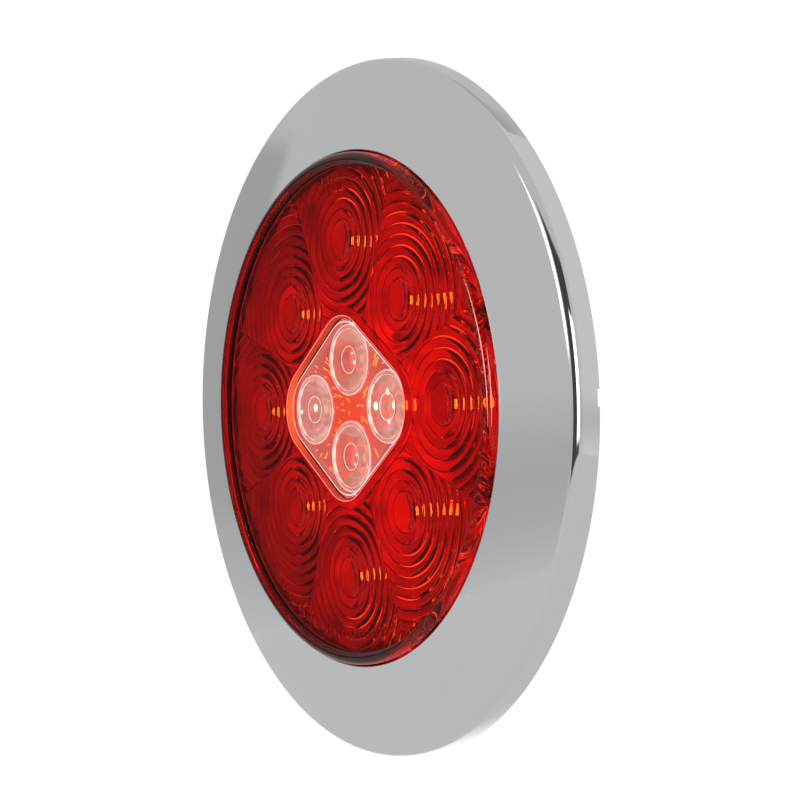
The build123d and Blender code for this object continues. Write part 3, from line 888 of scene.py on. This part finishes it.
GLINT_TALL = 2.1
GLINT_WIDE = 0.13
GLINT_DROP = 0.045
GLINT_TEETH = range(4, 7)
# Further glints level with the axis: place (x, z) and width.
LEVEL_GLINTS = ((23.5, 0.1, 0.6), (24.3, 0.1, 0.45), (45.6, 0.1, 0.4), (47.3, 0.1, 0.5))


def make_glints():
    """Short upright lines of light where the outer teeth turn each source toward the right."""
    material = glow_material("glint", (1.0, 3.2, 0.15), 5)
    places = list(LEVEL_GLINTS)
    for centre in RED_CENTRES:
        reach = float(cell_reach(centre, np.array([0.0]))[0])
        for tooth in GLINT_TEETH:
            radius = CENTRE_LENS_RADIUS + TOOTH_PITCH * tooth
            if radius < reach - 0.3:
                places.append((centre[0] + radius, centre[1] * (1 - GLINT_DROP), GLINT_WIDE))
    height = LENS_INSIDE - TOOTH_PITCH * TOOTH_SLOPE - 0.25
    glints = []
    for number, (x, z, width) in enumerate(places):
        glints.append(bar(f"glint_{number}", (x, z), pi / 2, GLINT_TALL, width, height - 0.05, height))
    finish_piece(join("tooth_glints", glints), LAMP, "red_lens", material)


# Each line's first and last angle in degrees, the radius at each end, its height and thickness.
RIM_LINES = ((-5, 27, 50.9, 49.9, 9.55, 0.07), (-5, 11, 51.12, 51.0, 8.9, 0.06))


def make_rim_lines():
    """Two fine painted highlights along the lens rim's shoulder, to the lamp's right."""
    material = glow_material("lit_rim", (1.0, 0.5, 0.46), 0.75)
    lines = []
    for start, end, start_radius, end_radius, height, thickness in RIM_LINES:
        angles = np.radians(np.linspace(start, end, 61))
        radii = np.linspace(start_radius, end_radius, 61)
        lines.append(arc_bead("rim_line", (0, 0), radii, angles, height, thickness))
    finish_piece(join("rim_lines", lines), LAMP, "red_lens", material)


FLECK_SEED = 5
FLECK_COUNT = 44
FLECK_FACINGS = (-78, 80)
FLECK_RADII = (43.5, 47.0)
FLECK_LENGTHS = (0.25, 0.9)
FLECK_DEPTHS = (1.0, 2.4)
FLECK_WIDTH = 0.14


def make_flecks():
    """Small flecks of light behind the lens, inside its rim to the right."""
    material = glow_material("fleck", (1.0, 1.5, 0.06), 3.5)
    dice = np.random.default_rng(FLECK_SEED)
    flecks = []
    for number in range(FLECK_COUNT):
        facing = radians(dice.uniform(*FLECK_FACINGS))
        radius = dice.uniform(*FLECK_RADII)
        length = dice.uniform(*FLECK_LENGTHS)
        place = (radius * cos(facing), radius * sin(facing))
        height = LENS_INSIDE - dice.uniform(*FLECK_DEPTHS)
        lean = facing + pi / 2 + dice.normal(0, 0.5)
        flecks.append(bar(f"fleck_{number}", place, lean, length, FLECK_WIDTH, height - 0.1, height))
    finish_piece(join("rim_flecks", flecks), LAMP, "red_lens", material)


SPARK_SEED = 11
SPARK_COUNT = 46
SPARK_REACH = 5
SPARK_LENGTHS = (0.6, 1.4)
SPARK_WIDTH = 0.16
SPARK_CUP_RADIUS = 7.3
SPARK_MARGIN = 7.2


def make_sparks():
    """Short irregular ribs on the web that catch the red light between the cups."""
    material = glow_material("lit_rib", (1.0, 0.30, 0.012), 1.6)
    dice = np.random.default_rng(SPARK_SEED)
    ribs = []
    while len(ribs) < SPARK_COUNT:
        x = dice.uniform(-WINDOW_X - SPARK_REACH, WINDOW_X + SPARK_REACH)
        z = dice.uniform(-WINDOW_Z - SPARK_REACH, WINDOW_Z + SPARK_REACH)
        angle = atan2(z, x) + dice.normal(0, 0.25)
        length = dice.uniform(*SPARK_LENGTHS)
        if x > 2 and abs(z) > 3:  # the ribs to the upper and lower right are longer
            length += 1.0
        gap = SPARK_CUP_RADIUS + length / 2
        clear_of_cups = all(np.hypot(x - cx, z - cz) > gap for cx, cz in CUP_CENTRES)
        if clear_of_cups and diamond_distance(x, z) < SPARK_MARGIN:
            low, high = WEB_HIGH - 0.02, WEB_HIGH + 0.12
            ribs.append(bar(f"spark_{len(ribs)}", (x, z), angle, length, SPARK_WIDTH, low, high))
    finish_piece(join("window_ribs", ribs), LAMP, "clear_lens", material)


TICK_RADIUS = 45.2
TICK_FOOT = LENS_FACE - 0.02
# The upper ticks: place across the lamp and length.
UPPER_TICKS = ((-5.2, 3.4), (-2.9, 3.6), (-1.6, 2.2), (0.6, 3.8), (1.5, 2.4))
# The lower ticks: how many, the first one's angle and the step to the next in degrees, and
# lengths that repeat.
LOWER_TICK_COUNT = 30
LOWER_TICK_START = 234
LOWER_TICK_STEP = 2
LOWER_TICK_LENGTHS = (1.4, 1.9, 1.1)


def make_ticks():
    """Generic raised ticks where the photo's lens carries small moulded characters."""
    ticks = []
    for x, length in UPPER_TICKS:
        ticks.append(bar("tick", (x, TICK_RADIUS), pi / 2, length, 0.3, TICK_FOOT, LENS_FACE + 0.16))
    for number in range(LOWER_TICK_COUNT):
        angle = radians(LOWER_TICK_START + number * LOWER_TICK_STEP)
        length = LOWER_TICK_LENGTHS[number % len(LOWER_TICK_LENGTHS)]
        place = (TICK_RADIUS * cos(angle), TICK_RADIUS * sin(angle))
        ticks.append(bar("tick", place, angle, length, 0.28, TICK_FOOT, LENS_FACE + 0.14))
    finish_piece(join("lens_ticks", ticks), LAMP, "red_lens", red_lens_material())


# ---------------------------------------------------------------- light sources

LED_BODY_HEIGHT = 0.75
CHIP_HALF = 1.15
CHIP_THICKNESS = 0.12
DOME_RADIUS = 1.4
DOME_STEPS = 8


def make_led(node, chip_material, body_material, dome_material):
    """A light source: ceramic body, lit chip and clear dome."""
    back, front = node_heights(node)
    x, z = node_centre(node)
    half = node_radius(node)
    body_top = back + LED_BODY_HEIGHT
    dome_foot = body_top + 0.14

    def square(size, height, corner):
        points = rounded([(-size, -size), (size, -size), (size, size), (-size, size)], [corner] * 4, 4)
        return [(x + px, height, z + pz) for px, pz in points]

    body = loft(
        f"{node}_body",
        [square(half, back, 0.3), square(half, body_top - 0.1, 0.3), square(half - 0.1, body_top, 0.3)],
    )
    chip_levels = (body_top + 0.01, body_top + CHIP_THICKNESS)
    chip = loft(f"{node}_chip", [square(CHIP_HALF, level, 0.1) for level in chip_levels])
    dome_outline = [(0, dome_foot), (DOME_RADIUS, dome_foot)]
    for step in range(1, DOME_STEPS + 1):
        angle = step / DOME_STEPS * pi / 2
        dome_outline.append((DOME_RADIUS * cos(angle), dome_foot + (front - dome_foot) * sin(angle)))
    dome = lathe(f"{node}_dome", dome_outline, (x, z), segments=48)
    slot = "led_red" if node in RED_LED_NODES else "led_white"
    finish_piece(body, LAMP, slot, body_material, node)
    finish_piece(chip, LAMP, slot, chip_material, node)
    finish_piece(dome, LAMP, slot, dome_material, node)


def make_lights():
    """All light sources, the cups over the white ones, and the clear window."""
    body = plastic_material("led_ceramic", (0.78, 0.76, 0.72), (0.7, 0.68, 0.64), 0.45, 0.05)
    dome = clear_material("led_silicone", (0.98, 0.98, 0.98), 0.02)
    red_chip = glow_material("red_chip", (1.0, 4.2, 0.2), 14)
    white_chip = glow_material("white_chip", (1.0, 0.82, 0.45), 0.9)
    for node in RED_LED_NODES:
        make_led(node, red_chip, body, dome)
    for node in WHITE_LED_NODES:
        make_led(node, white_chip, body, dome)
    for node in CUP_NODES:
        finish_piece(make_cup(node), LAMP, "clear_optic", cup_material(node), node)
    window = make_window()
    clear = clear_material("clear_polycarbonate", (0.98, 0.97, 0.97), 0.02)
    finish_piece(window, LAMP, "clear_lens", clear, "lens_window")


# ---------------------------------------------------------------- carried-over nodes

def dress(nodes, material):
    """Give CAD nodes a procedural material, with their own smooth shading kept."""
    for node in nodes:
        piece = NODES[node]
        piece.data.materials.clear()
        piece.data.materials.append(material)


COMPONENT_NODES = [n for n in NODES if n.startswith(("input_diode", "driver", "capacitor", "resistor"))]
# Plain plastics on CAD nodes: the material's name, its two colours, roughness, bump and nodes.
PLASTICS = (
    ("black_ring", (0.02, 0.02, 0.021), (0.028, 0.028, 0.03), 0.55, 0.12, ["mounting_ring"]),
    ("black_rubber", (0.016, 0.016, 0.017), (0.024, 0.023, 0.023), 0.7, 0.2, ["grommet"]),
    ("resin", (0.02, 0.02, 0.024), (0.03, 0.03, 0.034), 0.3, 0.05, ["potting"]),
    ("solder_mask", (0.7, 0.69, 0.66), (0.6, 0.6, 0.57), 0.4, 0.05, ["circuit_board"]),
    ("component_case", (0.03, 0.03, 0.03), (0.05, 0.05, 0.05), 0.45, 0.1, COMPONENT_NODES),
)


def dress_frame_nodes():
    """Give every CAD node that stays in the visual its material."""
    for name, first, second, roughness, bump, nodes in PLASTICS:
        dress(nodes, plastic_material(name, first, second, roughness, bump))
    dress(["housing"], housing_material())
    dress(["reflector"], tray_material())
    dress(["ring_screws"], metal_material("zinc_plate", (0.6, 0.6, 0.58), 0.3))
    brass = metal_material("tinned_brass", (0.75, 0.68, 0.5), 0.25)
    dress([n for n in NODES if n.startswith("terminal")], brass)


# ---------------------------------------------------------------- studio and camera

CAMERA_AZIMUTH = 56.57
CAMERA_ELEVATION = -0.82
CAMERA_ROLL = -1.58
CAMERA_DISTANCE = 350.0
CAMERA_RIGHT = 4.66
CAMERA_UP = 1.54
CAMERA_LENS = 77.6
CAMERA_SENSOR = 36


def make_camera():
    """A camera to the lamp's right, nearly level, a little rolled."""
    azimuth, elevation, roll = (radians(v) for v in (CAMERA_AZIMUTH, CAMERA_ELEVATION, CAMERA_ROLL))
    level_right = Vector((cos(azimuth), sin(azimuth), 0))
    back = Vector((sin(azimuth) * cos(elevation), -cos(azimuth) * cos(elevation), sin(elevation)))
    level_up = back.cross(level_right)
    right = cos(roll) * level_right + sin(roll) * level_up
    up = -sin(roll) * level_right + cos(roll) * level_up
    data = bpy.data.cameras.new("camera")
    data.lens = CAMERA_LENS
    data.sensor_width = CAMERA_SENSOR
    data.clip_start = 0.01
    camera = bpy.data.objects.new("camera", data)
    bpy.context.scene.collection.objects.link(camera)
    place = (right * CAMERA_RIGHT + up * CAMERA_UP + back * CAMERA_DISTANCE) * MM
    turn = Matrix((right, up, back)).transposed().to_4x4()
    camera.matrix_world = Matrix.Translation(place) @ turn
    bpy.context.scene.camera = camera


FLOOR_LEVEL = -300.0
FLOOR_RADIUS = 1200.0
FLOOR_LIT_WAY = (-0.5, 0.87, 0)
FLOOR_DIM = 0.12
FLOOR_BRIGHT = 0.75


def make_floor():
    """A round pale floor well below the lamp, lit more strongly behind it than before it."""
    mesh = bpy.data.meshes.new("floor")
    angles = np.arange(128) * tau / 128
    radius, level = FLOOR_RADIUS * MM, FLOOR_LEVEL * MM
    rim = [(radius * cos(a), radius * sin(a), level) for a in angles]
    mesh.from_pydata(rim, [], [tuple(range(len(rim)))])
    floor = bpy.data.objects.new("floor", mesh)
    bpy.context.scene.collection.objects.link(floor)
    material = new_material("pale_floor", (0.8, 0.8, 0.8), 0.7)
    shader = shader_of(material)
    shader.inputs["Emission Color"].default_value = (1, 1, 1, 1)
    place = add_node(material, "ShaderNodeTexCoord")
    heading = add_node(material, "ShaderNodeVectorMath", operation="NORMALIZE")
    away = add_node(material, "ShaderNodeVectorMath", operation="DOT_PRODUCT")
    away.inputs[1].default_value = FLOOR_LIT_WAY
    fade = map_range(material, 0.4, 0.75, FLOOR_DIM, FLOOR_BRIGHT, "SMOOTHSTEP")
    wire(material, place, "Object", heading, 0)
    wire(material, heading, "Vector", away, 0)
    wire(material, away, "Value", fade, "Value")
    wire(material, fade, "Result", shader, "Emission Strength")
    mottle(material, 3, (0.8, 0.8, 0.8), (0.82, 0.82, 0.82))
    mesh.materials.append(material)


# Cards round the lamp: azimuth from the front toward the right, elevation, width, height and
# soft edge in degrees, then brightness.
CARDS = (
    (-86, 6, 30, 22, 1.5, 0.43),
    (-150, 68, 70, 14, 5, 0.45),
    (-56, 0, 15, 18, 2, 0.10),
    (-14, 17, 20, 20, 3, 3.2),
    (36, -2, 60, 84, 3, 0.06),
    (56, 6, 24, 32, 1.5, 2.6),
    (60, -42, 24, 40, 3, 2.6),
)
BACKDROP_STRENGTH = 1.05


def make_world():
    """Soft grey studio walls with white and dark cards, seen white behind the object."""
    world = bpy.data.worlds.new("studio")
    bpy.context.scene.world = world
    world.use_nodes = True
    tree = world.node_tree

    def math(operation, *values):
        node = tree.nodes.new("ShaderNodeMath")
        node.operation = operation
        for index, value in enumerate(values):
            if isinstance(value, (int, float)):
                node.inputs[index].default_value = value
            else:
                tree.links.new(value, node.inputs[index])
        return node.outputs[0]

    def ease(value, start, end, low=0.0, high=1.0):
        node = tree.nodes.new("ShaderNodeMapRange")
        node.interpolation_type = "SMOOTHSTEP"
        for socket, amount in zip(("From Min", "From Max", "To Min", "To Max"), (start, end, low, high)):
            node.inputs[socket].default_value = amount
        tree.links.new(value, node.inputs["Value"])
        return node.outputs["Result"]

    place = tree.nodes.new("ShaderNodeTexCoord")
    parts = tree.nodes.new("ShaderNodeSeparateXYZ")
    tree.links.new(place.outputs["Generated"], parts.inputs[0])
    azimuth = math("DEGREES", math("ARCTAN2", parts.outputs["X"], math("MULTIPLY", parts.outputs["Y"], -1)))
    elevation = math("DEGREES", math("ARCSINE", parts.outputs["Z"]))
    level = math("ADD", ease(elevation, -5, 3, 0.49, 0.60), ease(elevation, -18, -5, 0.20, 0.0))
    level = math("ADD", level, ease(azimuth, 70, 115, 0.0, 0.10))
    for across, up, width, height, edge, brightness in CARDS:
        side = math("ABSOLUTE", math("SUBTRACT", azimuth, across))
        rise = math("ABSOLUTE", math("SUBTRACT", elevation, up))
        inside = math(
            "MULTIPLY",
            ease(side, width / 2 - edge, width / 2 + edge, 1.0, 0.0),
            ease(rise, height / 2 - edge, height / 2 + edge, 1.0, 0.0),
        )
        rest = math("MULTIPLY", level, math("SUBTRACT", 1.0, inside))
        level = math("ADD", rest, math("MULTIPLY", inside, brightness))
    wall = tree.nodes["Background"]
    tree.links.new(level, wall.inputs["Color"])
    backdrop = tree.nodes.new("ShaderNodeBackground")
    backdrop.inputs["Color"].default_value = (1, 1, 1, 1)
    backdrop.inputs["Strength"].default_value = BACKDROP_STRENGTH
    path = tree.nodes.new("ShaderNodeLightPath")
    mix = tree.nodes.new("ShaderNodeMixShader")
    tree.links.new(path.outputs["Is Camera Ray"], mix.inputs[0])
    tree.links.new(wall.outputs[0], mix.inputs[1])
    tree.links.new(backdrop.outputs[0], mix.inputs[2])
    tree.links.new(mix.outputs[0], tree.nodes["World Output"].inputs["Surface"])


def make_studio():
    """The surroundings and the camera, shown without a filmic curve."""
    make_world()
    make_floor()
    bpy.context.scene.view_settings.view_transform = "Standard"
    make_camera()


make_bezel()
make_red_lens()
make_lights()
make_lit_edges()
make_web()
make_sparks()
make_hot_spots()
make_tooth_lights()
make_glints()
make_rim_lines()
make_flecks()
make_ticks()
dress_frame_nodes()
make_studio()
